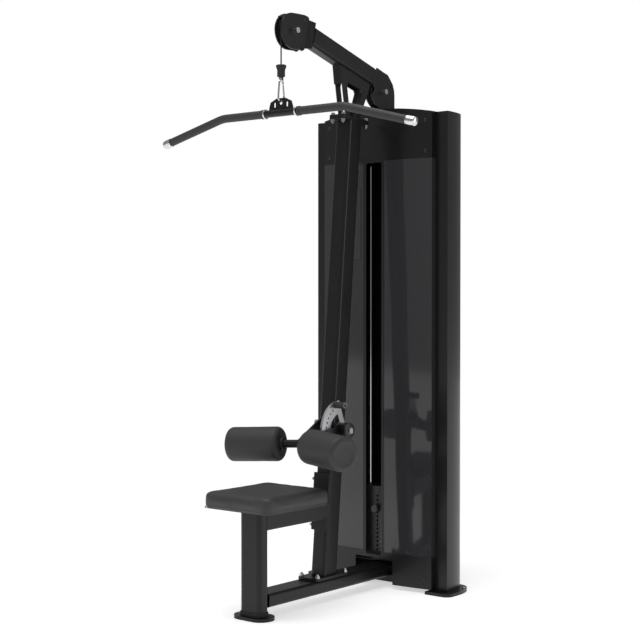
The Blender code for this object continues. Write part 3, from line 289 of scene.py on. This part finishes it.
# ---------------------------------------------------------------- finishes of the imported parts
# The welded frame, tower covers and columns are steel with a black powder coat, and the panes are
# smoked acrylic. Weight plates and the thicker steel pieces get soft edges for the light to catch.
def finish_frame():
    paint(POWDER, "base_frame", "boom_bracket", "boom_tube", "front_pulley_housing", "rear_pulley_housing")
    paint(POWDER, "seat_beam", "seat_post", "upright", "upright_flange", "stack_base_beam", "thigh_arm")
    paint(SHROUD, "tower_column_left", "tower_column_right", "tower_front_panel", "tower_lid", "rear_panel")
    paint(ACRYLIC, "acrylic_pane_left", "acrylic_pane_right")
    paint(CHROME, "guide_rod_left", "guide_rod_right", "selector_rod", "snap_hook", "snap_gate", "pop_pin")
    paint(ZINC, "front_pulley_axle", "rear_pulley_axle", "thigh_pivot_shaft")
    paint(SATIN, "sector_plate")
    paint(NYLON, "front_pulley", "rear_pulley", "selector_pin")
    paint(RUBBER, "foot_pad_left", "foot_pad_right", "front_foot_pad", "stack_bumper", "cable_stopper")
    paint(POWDER, "hanger_plate")
    paint(JACKET, "cable_front_drop", "cable_over_pulleys", "cable_rear_drop")
    paint(PLACARD, "placard")
    plates = [name for name in NODES if name.startswith("weight_plate")]
    paint(PLATE, "top_plate", *plates)
    for name in plates + ["top_plate"]:
        soften(name, 0.0012, 2)
    for name in ("boom_bracket", "seat_post", "upright", "hanger_plate", "front_pulley_housing"):
        soften(name, 0.0008, 2)


finish_frame()


# ---------------------------------------------------------------- seat cushion Moulded foam in
# grained black vinyl that is pulled tight, with a thin welt round the lower edge.
SEAT_CORNER, SEAT_INSET, SEAT_RAISED = 0.034, 0.003, 0.0006
SEAT_LEVELS = ((0.0, 0.004), (0.004, 0.0), (0.026, 0.0), (0.045, 0.001),
               (0.0515, 0.004), (0.0555, 0.010), (0.0570, 0.020))   # (height, how far the edge draws in)
WELT_RADIUS, WELT_INSET = 0.0016, 0.0035


def build_seat():
    low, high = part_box("seat_cushion")
    base = low[2] + SEAT_RAISED
    half_x, half_y, centre_y = (high[0] - low[0]) / 2, (high[1] - low[1]) / 2, (low[1] + high[1]) / 2
    shape = bmesh.new()
    loops = []
    for rise, pull in SEAT_LEVELS:
        inset = SEAT_INSET + pull
        radius = max(0.012, SEAT_CORNER - pull)
        loops.append(rounded_loop(half_x - inset, half_y - inset, radius, centre_y, base + rise))
    rings = bridge(shape, loops)
    shape.faces.new(list(reversed(rings[0])))
    shape.faces.new(rings[-1])
    cushion = object_from("seat_pad", shape, VINYL, "frame", 80.0)
    inflate(cushion, 0.004, base, high[2] + 0.003)
    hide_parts("seat_cushion")
    reach_x, reach_y = half_x - WELT_INSET, half_y - WELT_INSET
    welt = rounded_loop(reach_x, reach_y, SEAT_CORNER, centre_y, low[2] + WELT_INSET)
    rod("seat_edge_welt", welt, WELT_RADIUS, VINYL, "frame", closed=True)


def inflate(piece, cap, floor_z, ceiling_z):
    """Cloth under pressure, so the cover swells and draws in between its corners; moves are capped."""
    mesh = piece.data
    remesh = piece.modifiers.new("voxels", "REMESH")
    remesh.mode = "VOXEL"
    remesh.voxel_size = 0.006
    bpy.context.view_layer.update()
    start = evaluated(piece)
    piece.modifiers.clear()
    piece.data = start
    before = [v.co.copy() for v in start.vertices]
    cloth = piece.modifiers.new("skin", "CLOTH")
    cloth.settings.use_pressure = True
    cloth.settings.uniform_pressure_force = 3.0
    cloth.settings.effector_weights.gravity = 0.0
    cloth.point_cache.frame_end = 16
    scene = bpy.context.scene
    for number in range(1, 15):
        scene.frame_set(number)
    swollen = evaluated(piece)
    piece.modifiers.clear()
    scene.frame_set(1)
    for vertex, old in zip(swollen.vertices, before):
        move = vertex.co - old
        if move.length > cap:
            move *= cap / move.length
        vertex.co = old + move
        vertex.co.z = min(max(vertex.co.z, floor_z), ceiling_z)
    swollen.materials.clear()
    swollen.materials.append(mesh.materials[0])
    swollen.shade_smooth()
    piece.data = swollen
    smooth = piece.modifiers.new("relax", "SMOOTH")
    smooth.iterations = 6
    smooth.factor = 0.5


build_seat()


# ---------------------------------------------------------------- thigh rollers
# Foam tubes in a vinyl skin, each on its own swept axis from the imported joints. A moulded cap sits in
# each end, and a collar on the arm's tube keeps the roller from sliding inward.
ROLLER_RADIUS, ROLLER_HALF, ROLLER_EDGE, ROLLER_BORE = 0.0662, 0.1080, 0.016, 0.017
ROLLER_RIM = ((0.003, ROLLER_BORE), (0.0010, 0.047), (0.0002, 0.0495))   # (depth from the end, radius)


def roller_profile():
    half, edge, radius = ROLLER_HALF, ROLLER_EDGE, ROLLER_RADIUS
    corner = [(edge * (1 - cos(a)), edge * (1 - sin(a))) for a in [pi / 2 * i / 8 for i in range(9)]]
    profile = [(-half + deep, wide) for deep, wide in ROLLER_RIM]
    profile += [(-half + along, radius - drop) for along, drop in corner]
    profile += [(-half + edge + (2 * half - 2 * edge) * i / 14, radius) for i in range(1, 14)]
    profile += [(half - along, radius - drop) for along, drop in reversed(corner)]
    profile += [(half - deep, wide) for deep, wide in reversed(ROLLER_RIM)]
    return profile + [(-half + ROLLER_RIM[0][0], ROLLER_BORE)]


def build_rollers():
    for joint in [j for j in frame["joints"] if j["name"].startswith("roller_")]:
        label = "right" if joint["pos_m"][0] > 0 else "left"
        centre, axis = Vector(joint["pos_m"]), Vector(joint["axis"]).normalized()
        shape = bmesh.new()
        spin(shape, roller_profile(), centre, axis, 80)
        for vertex in shape.verts:
            across = vertex.co - centre
            across -= axis * across.dot(axis)
            if across.length > ROLLER_RADIUS * 0.85:
                vertex.co -= across.normalized() * abs(noise.noise(vertex.co * 18.0)) * 0.0008
        bmesh.ops.remove_doubles(shape, verts=shape.verts, dist=1e-6)
        pad = object_from(f"roller_pad_{label}", shape, FOAM, f"roller_{label}", 62.0)
        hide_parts(f"roller_{label}")
        build_roller_ends(label, centre, axis)


def build_roller_ends(label, centre, axis):
    """A cap with a raised rim at each end, dished and open on the arm's side and closed on the outer one."""
    for end, where in ((1, "outer"), (-1, "inner")):
        hole = 0.0 if end > 0 else 0.018
        cap = [(-0.0020, 0.0505), (0.0006, 0.0505), (0.0014, 0.0490), (0.0012, 0.0465), (-0.0002, 0.0445)]
        cap += [(-0.0004, 0.020), (-0.0004, hole)] if end < 0 else [(0.0006, 0.020), (0.0008, hole)]
        place = centre + axis * end * (ROLLER_HALF - 0.0006)
        turned(f"roller_cap_{label}_{where}", cap, place, axis * end, FOAM, f"roller_{label}", 72)
    collar = [(0.0, 0.0158), (0.0, 0.0235), (0.0015, 0.0250)]
    collar += [(0.0095, 0.0250), (0.011, 0.0235), (0.011, 0.0158)]
    place = centre - axis * (ROLLER_HALF + 0.0125)
    turned(f"tube_collar_{label}", collar, place, axis, NYLON, "thigh_arm", 40)


build_rollers()


# ---------------------------------------------------------------- pull bar
# Bent steel tube: a bare black middle, rubber sleeves on the arms, and chrome rings and end caps.
def build_bar():
    centre_z, half, bend = 1.857, 0.610, 0.296
    slope = 0.0805 / (half - bend)

    def path(start, end, side):
        points = []
        for i in range(33):
            x = start + (end - start) * i / 32
            over = x - bend
            drop = slope * (over + 0.02) ** 2 / 0.08 if abs(over) < 0.02 else max(0.0, over) * slope
            points.append(Vector((side * x, HANG_Y, centre_z - drop)))
        return points

    middle = [Vector((x, HANG_Y, centre_z)) for x in (-0.080, -0.04, 0.0, 0.04, 0.080)]
    bar = rod("bar_middle", middle, 0.0138, POWDER, "lat_bar")
    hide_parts("lat_bar")
    lean = atan(slope)
    for side, label in ((1, "right"), (-1, "left")):
        rod(f"bar_grip_{label}", path(0.088, 0.576, side), 0.0157, GRIP, "lat_bar")
        half_ring = [(0.0025, 0.0182), (0.0035, 0.0172), (0.0035, 0.0130)]
        ring = [(-along, wide) for along, wide in reversed(half_ring)] + half_ring
        turned(f"bar_ring_{label}", ring, (side * 0.0765, HANG_Y, centre_z), (1, 0, 0), CHROME, "lat_bar")
        collar = [(0.0, 0.0125), (0.0, 0.0150), (0.002, 0.0172), (0.006, 0.0178)]
        collar += [(0.012, 0.0166), (0.012, 0.0126)]
        place = (side * 0.0835, HANG_Y, centre_z)
        turned(f"bar_collar_{label}", collar, place, (side, 0, 0), GRIP, "lat_bar")
        cap_x = 0.574
        place = (side * cap_x, HANG_Y, centre_z - (cap_x - bend) * slope)
        length = (half - cap_x) / cos(lean)
        cap = [(0.0, 0.0150), (0.0, 0.0163), (0.002, 0.0170), (length - 0.006, 0.0170)]
        cap += [(length - 0.002, 0.0155), (length, 0.0120), (length, 0.0)]
        turned(f"bar_end_{label}", cap, place, (side * cos(lean), 0, -sin(lean)), CHROME, "lat_bar")


build_bar()


# ---------------------------------------------------------------- fasteners
# Bright hex bolts and nuts hold the upright's flanges, the seat beam and the base. Button heads hold the
# covers and pulley housings, dark ones, and the two feet, bright ones. Profiles are (height, radius).
BUTTON = [(0.0, 0.0075), (0.0012, 0.0075), (0.0034, 0.0058), (0.0044, 0.0036), (0.0044, 0.0028),
          (0.0024, 0.0026), (0.0024, 0.0)]
HEX = [(0.0, 0.0105), (0.0012, 0.0105), (0.0012, 0.0086), (0.0085, 0.0086), (0.0095, 0.0076), (0.0095, 0.0)]
STUD = [(0.0, 0.0110), (0.0014, 0.0110), (0.0014, 0.0088), (0.0095, 0.0088), (0.0100, 0.0045),
        (0.0150, 0.0045), (0.0155, 0.0)]


def panel_front(x):
    """Where the bowed front panel's face stands at x."""
    return EDGE - 0.020 * (1 - (x / 0.2705) ** 2)


def build_fasteners():
    covers = [((x, panel_front(x), z), (0, -1, 0)) for x in (-0.2405, 0.2405) for z in (1.868, 1.747)]
    covers += [((x, panel_front(x), 0.060), (0, -1, 0)) for x in (-0.2405, 0.2405)]
    scatter("cover_bolts", BUTTON, covers, NYLON, "frame", 28)
    lean = Vector((0, UPRIGHT_LEAN, 1)).normalized()
    flange_bolts = []
    for x in (-0.026, 0.026):
        for y in (-0.070, 0.074):
            place = Vector((0, UPRIGHT_Y, 0)) + lean * 1.8848 + Vector((x, y, -y * UPRIGHT_LEAN))
            flange_bolts.append((place, lean))
    scatter("flange_bolts", HEX, flange_bolts, ZINC, "frame", 6)
    nuts = [(place - lean * 0.0181, -Vector(axis)) for place, axis in flange_bolts]
    scatter("flange_nuts", STUD, nuts, ZINC, "frame", 6)
    base_top = 0.1006
    base = [((x, y + EDGE, base_top), (0, 0, 1)) for x in (-0.040, 0.040) for y in (-0.425, -0.258)]
    scatter("base_bolts", STUD, base, ZINC, "frame", 6)
    beam = [(upright_point(-0.0372, -0.0435, z), (-1, 0, 0)) for z in (0.292, 0.468)]
    scatter("beam_nuts", [(p * 0.8, r * 0.72) for p, r in STUD], beam, ZINC, "frame", 6)
    feet = [((x * 0.335, 0.135 + EDGE, 0.0123), (0, 0, 1)) for x in (-1, 1)]
    scatter("foot_bolts", BUTTON, feet, ZINC, "frame", 28)
    cheeks = [((x * 0.0172, -0.478 + EDGE, 2.214), (x, 0, 0)) for x in (-1, 1)]
    scatter("housing_screws", [(p * 0.6, r * 0.6) for p, r in BUTTON], cheeks, NYLON, "frame", 20)


build_fasteners()


# ---------------------------------------------------------------- cables
# Jacketed steel cable: each drop is a straight run from its pulley down to the piece it pulls, and a thin
# lanyard ties the selector pin to the top plate. A bright crimped neck sits under the stopper.
def drop(name, y, top, bottom, body, node):
    points = [Vector((0, y, top + (bottom - top) * i / 40)) for i in range(41)]
    cable = rod(name, points, 0.0027, JACKET, None)
    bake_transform(cable)
    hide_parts(node)


def build_cables():
    drop("front_cable", HANG_Y, 2.1647, 2.0343, "pull_end", "cable_front_drop")
    drop("rear_cable", STACK_Y, 1.9977, 0.4434, "lifted_stack", "cable_rear_drop")
    neck = [(0.0, 0.0030), (0.0, 0.0058), (0.002, 0.0068), (0.013, 0.0068), (0.017, 0.0050), (0.017, 0.0028)]
    turned("stopper_neck", neck, (0, HANG_Y, 1.9725), (0, 0, 1), CHROME, "pull_end", 32)
    ends = Vector((0.010, PLATE_FRONT - 0.004, 0.396)), Vector((0.004, PLATE_FRONT - 0.012, 0.322))
    path = []
    for i in range(25):
        t = i / 24
        path.append(ends[0].lerp(ends[1], t) + Vector((0.012 * sin(pi * t), -0.006 * sin(pi * t), 0)))
    lanyard = rod("selector_lanyard", path, 0.0011, JACKET, None)
    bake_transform(lanyard)


build_cables()


# ---------------------------------------------------------------- hubs, caps and collars
# Small moulded and turned parts: the post's foot collar, the pivot's cap, and the rubber sleeve of the
# stub handle on the sector plate.
def build_trim():
    shape = bmesh.new()
    loops = []
    for rise, grow in ((0.0, 0.004), (0.012, 0.004), (0.015, 0.0015)):
        loops.append(rounded_loop(0.050 + grow, 0.027 + grow, 0.018 + grow, POST_Y, 0.0124 + rise))
    bridge(shape, loops)
    object_from("post_collar", shape, RUBBER, "frame")
    reach, angle = 0.105, radians(72)
    place = (0.0455, PIVOT_Y - reach * cos(angle), PIVOT_Z + reach * sin(angle))
    sleeve = [(0.0, 0.0104), (0.0, 0.0122), (0.002, 0.0130), (0.040, 0.0130), (0.044, 0.0118)]
    sleeve += [(0.0463, 0.0080), (0.0463, 0.0)]
    turned("handle_sleeve", sleeve, place, (1, 0, 0), GRIP, "frame", 32)
    cap = [(0.0, 0.0305), (0.003, 0.0305), (0.006, 0.0290), (0.0075, 0.0240), (0.0075, 0.0130)]
    turned("pivot_cap", cap, (0.0835, PIVOT_Y, PIVOT_Z), (1, 0, 0), NYLON, "thigh_arm", 40)


build_trim()


# ---------------------------------------------------------------- weight stack figures
# Each plate carries a plain white number that counts up the load, beside the pin holes.
def build_figures():
    for index in range(1, 15):
        name = f"weight_plate_{index:02d}"
        low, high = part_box(name)
        text = bpy.data.curves.new(f"figure_{index:02d}", "FONT")
        text.body = str(index * 5)
        text.size = 0.010
        text.extrude = 0.0002
        text.align_x = "CENTER"
        text.align_y = "CENTER"
        source = bpy.data.objects.new(f"figure_source_{index:02d}", text)
        bpy.context.scene.collection.objects.link(source)
        bpy.context.view_layer.update()
        mesh = evaluated(source)
        bpy.data.objects.remove(source, do_unlink=True)
        place = Vector((0.022, low[1] - 0.0002, (low[2] + high[2]) / 2))
        mesh.transform(Matrix.Translation(place) @ Matrix.Rotation(pi / 2, 4, "X"))
        mesh.materials.clear()
        mesh.materials.append(FIGURES)
        piece = bpy.data.objects.new(f"plate_figure_{index:02d}", mesh)
        bpy.context.scene.collection.objects.link(piece)
        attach(piece, "lifted_stack" if index <= 4 else "frame")


build_figures()


# ---------------------------------------------------------------- floor, light and camera
def build_stage():
    shape = bmesh.new()
    bmesh.ops.create_grid(shape, x_segments=1, y_segments=1, size=14.0)
    mesh = bpy.data.meshes.new("floor")
    shape.to_mesh(mesh)
    shape.free()
    floor = bpy.data.objects.new("floor", mesh)
    bpy.context.scene.collection.objects.link(floor)
    white = bpy.data.materials.new("pale_floor")
    white.use_nodes = True
    tree = white.node_tree
    tree.nodes.clear()
    matt = add(tree, "ShaderNodeBsdfDiffuse", Color=(0.75, 0.75, 0.75, 1.0))
    glow = add(tree, "ShaderNodeEmission", Color=(1.0, 1.0, 1.0, 1.0), Strength=0.55)
    near = add(tree, "ShaderNodeAddShader", {0: matt.outputs[0], 1: glow.outputs[0]})
    far = add(tree, "ShaderNodeEmission", Color=(1.0, 1.0, 1.0, 1.0), Strength=1.0)
    where = add(tree, "ShaderNodeTexCoord").outputs["Object"]
    away = add(tree, "ShaderNodeVectorMath", {0: where}, operation="LENGTH").outputs["Value"]
    fade = add(tree, "ShaderNodeMapRange", {"Value": away}, interpolation_type="SMOOTHSTEP")
    fade.inputs["From Min"].default_value = 1.1
    fade.inputs["From Max"].default_value = 3.2
    parts = {0: fade.outputs["Result"], 1: near.outputs[0], 2: far.outputs[0]}
    pick = add(tree, "ShaderNodeMixShader", parts)
    add(tree, "ShaderNodeOutputMaterial", {"Surface": pick.outputs[0]})
    mesh.materials.append(white)


def build_world():
    world = bpy.data.worlds.new("studio")
    bpy.context.scene.world = world
    world.use_nodes = True
    tree = world.node_tree
    tree.nodes.clear()
    path = add(tree, "ShaderNodeLightPath")
    backdrop = add(tree, "ShaderNodeBackground", Color=(1.0, 1.0, 1.0, 1.0), Strength=1.0)
    fill = add(tree, "ShaderNodeBackground", Color=(1.0, 1.0, 1.0, 1.0), Strength=0.30)
    parts = {0: path.outputs["Is Camera Ray"], 1: fill.outputs[0], 2: backdrop.outputs[0]}
    pick = add(tree, "ShaderNodeMixShader", parts)
    add(tree, "ShaderNodeOutputWorld", {"Surface": pick.outputs[0]})


def softbox(name, place, aim, width, height, power, shine=False):
    light = bpy.data.lights.new(name, "AREA")
    light.shape = "RECTANGLE"
    light.size = width
    light.size_y = height
    light.energy = power
    lamp = bpy.data.objects.new(name, light)
    bpy.context.scene.collection.objects.link(lamp)
    lamp.location = place
    lamp.rotation_euler = (Vector(aim) - Vector(place)).to_track_quat("-Z", "Y").to_euler()
    lamp.visible_camera = False
    lamp.visible_glossy = shine


def build_light():
    softbox("key_left", (-3.6, -4.2, 2.4), (0, 0, 1.2), 3.2, 4.0, 80)
    softbox("front_right", (2.0, -5.5, 2.2), (0, 0, 1.1), 2.6, 3.2, 30)
    softbox("rim_right", (4.2, 2.6, 2.0), (0.3, 0.1, 1.1), 0.9, 3.6, 30, shine=True)
    softbox("overhead", (0, -0.6, 5.2), (0, -0.1, 0), 4.0, 4.0, 150, shine=True)


def build_camera():
    camera = bpy.data.cameras.new("camera")
    camera.lens = 78.11
    camera.sensor_width = 36.0
    holder = bpy.data.objects.new("camera", camera)
    bpy.context.scene.collection.objects.link(holder)
    holder.location = (3.3777, -4.5030 + EDGE, 1.1851)
    holder.rotation_euler = (radians(90 - 1.081), 0.0, radians(39.206))
    bpy.context.scene.camera = holder
    render = bpy.context.scene.render
    render.resolution_x = render.resolution_y = 1280
    bpy.context.scene.view_settings.view_transform = "Standard"
    bpy.context.scene.view_settings.look = "None"


build_stage()
build_world()
build_light()
build_camera()
